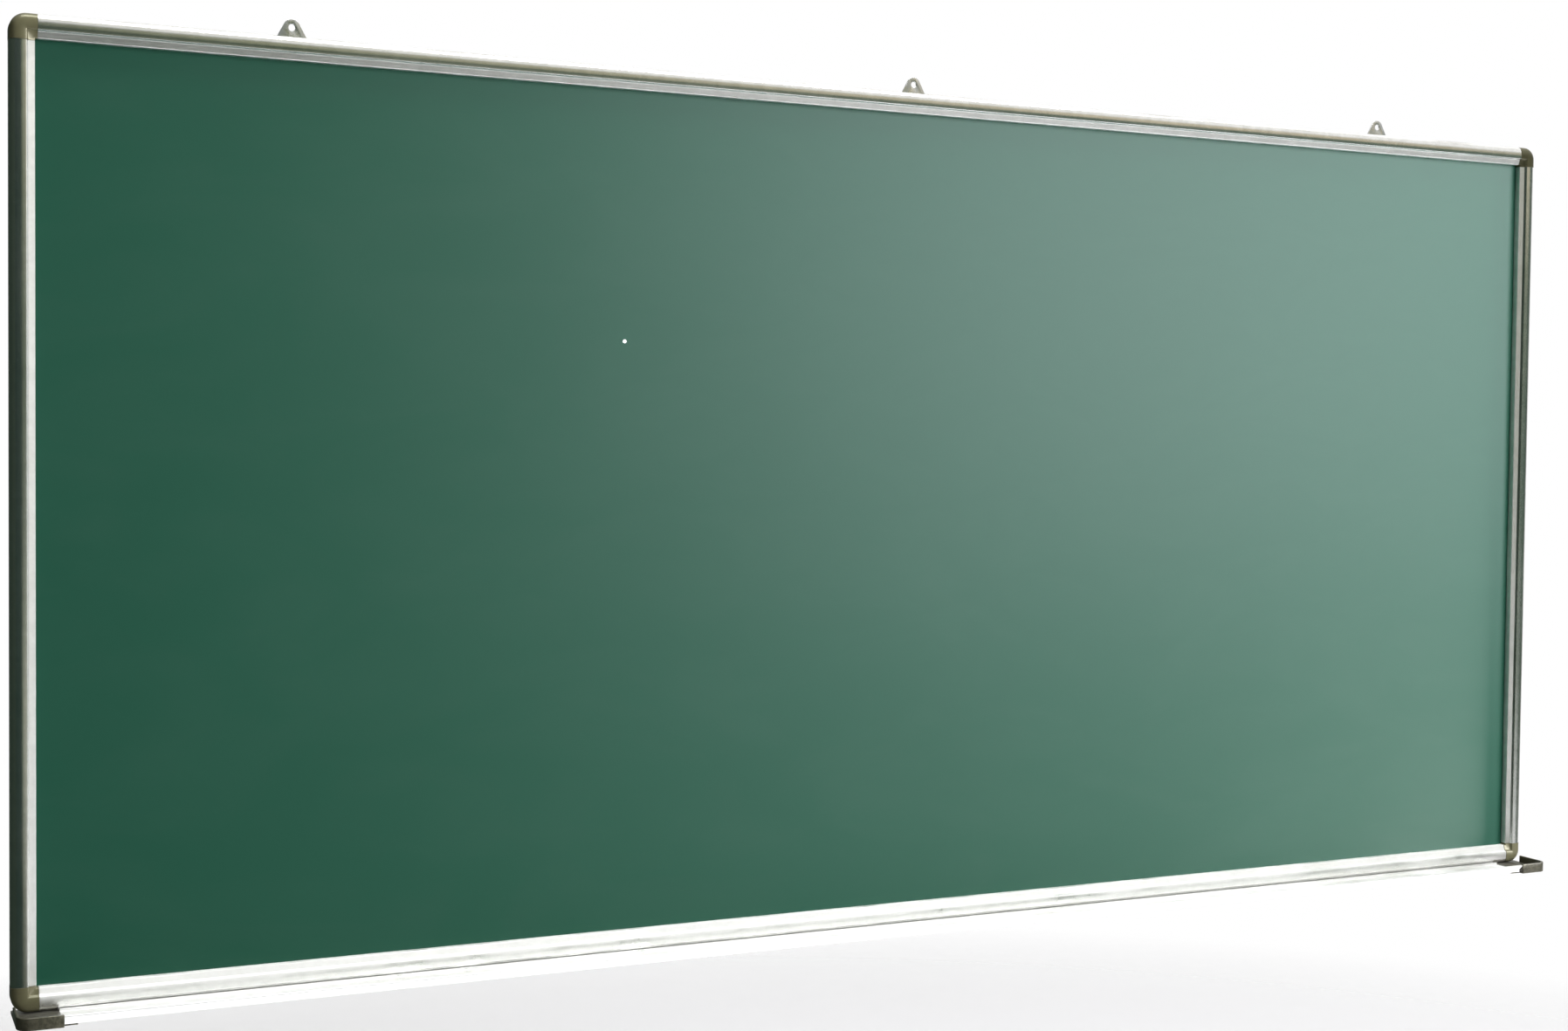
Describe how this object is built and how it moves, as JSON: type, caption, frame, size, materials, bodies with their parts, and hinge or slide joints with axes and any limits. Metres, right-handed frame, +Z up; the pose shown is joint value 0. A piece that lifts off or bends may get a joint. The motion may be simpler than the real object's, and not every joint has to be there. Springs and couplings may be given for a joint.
{
  "type": "chalkboard",
  "caption": "Wall-hung green steel chalkboard in an aluminium frame with rounded resin corners, a full-width chalk tray and lugs that slide along the top rail.",
  "frame": {"origin": "middle of the board's back, in the plane of the wall", "axes": "+X along the board to the right as seen from the front, +Y into the wall, +Z up"},
  "size_m": [1.8, 0.066, 0.9241],
  "materials": {
    "writing_green": "matt baked green coat",
    "core_hardboard": "raw hardboard",
    "back_zinc": "galvanised",
    "frame_aluminium": "satin anodised",
    "tray_aluminium": "satin anodised",
    "corner_resin": "fine satin resin",
    "tray_end_resin": "fine satin resin",
    "hanger_steel": "bright zinc plated",
    "screw_steel": "bright zinc plated"
  },
  "bodies": {
    "board": {"writing_sheet": "writing_green", "core_board": "core_hardboard", "back_sheet": "back_zinc", "top_rail": "frame_aluminium", "bottom_rail": "frame_aluminium", "left_stile": "frame_aluminium", "right_stile": "frame_aluminium", "corner_top_left": "corner_resin", "corner_top_right": "corner_resin", "corner_bottom_left": "corner_resin", "corner_bottom_right": "corner_resin", "corner_screw_top_left_1": "screw_steel", "corner_screw_top_left_2": "screw_steel", "corner_screw_top_right_1": "screw_steel", "corner_screw_top_right_2": "screw_steel", "corner_screw_bottom_left_1": "screw_steel", "corner_screw_bottom_left_2": "screw_steel", "corner_screw_bottom_right_1": "screw_steel", "corner_screw_bottom_right_2": "screw_steel", "chalk_tray": "tray_aluminium", "tray_end_left": "tray_end_resin", "tray_end_right": "tray_end_resin", "tray_screw_1": "screw_steel", "tray_screw_2": "screw_steel", "tray_screw_3": "screw_steel", "tray_screw_4": "screw_steel", "tray_screw_5": "screw_steel", "tray_end_screw_left": "screw_steel", "tray_end_screw_right": "screw_steel"},
    "hanger_left": {"hanger_plate_left": "hanger_steel", "hanger_nut_left": "hanger_steel", "hanger_screw_left": "screw_steel"},
    "hanger_middle": {"hanger_plate_middle": "hanger_steel", "hanger_nut_middle": "hanger_steel", "hanger_screw_middle": "screw_steel"},
    "hanger_right": {"hanger_plate_right": "hanger_steel", "hanger_nut_right": "hanger_steel", "hanger_screw_right": "screw_steel"}
  },
  "joints": [
    {"name": "hanger_left_slide", "type": "slide", "parent": "board", "child": "hanger_left", "axis": [1, 0, 0], "range_m": [-0.19, 0.3]},
    {"name": "hanger_middle_slide", "type": "slide", "parent": "board", "child": "hanger_middle", "axis": [1, 0, 0], "range_m": [-0.25, 0.25]},
    {"name": "hanger_right_slide", "type": "slide", "parent": "board", "child": "hanger_right", "axis": [1, 0, 0], "range_m": [-0.3, 0.175]}
  ]
}
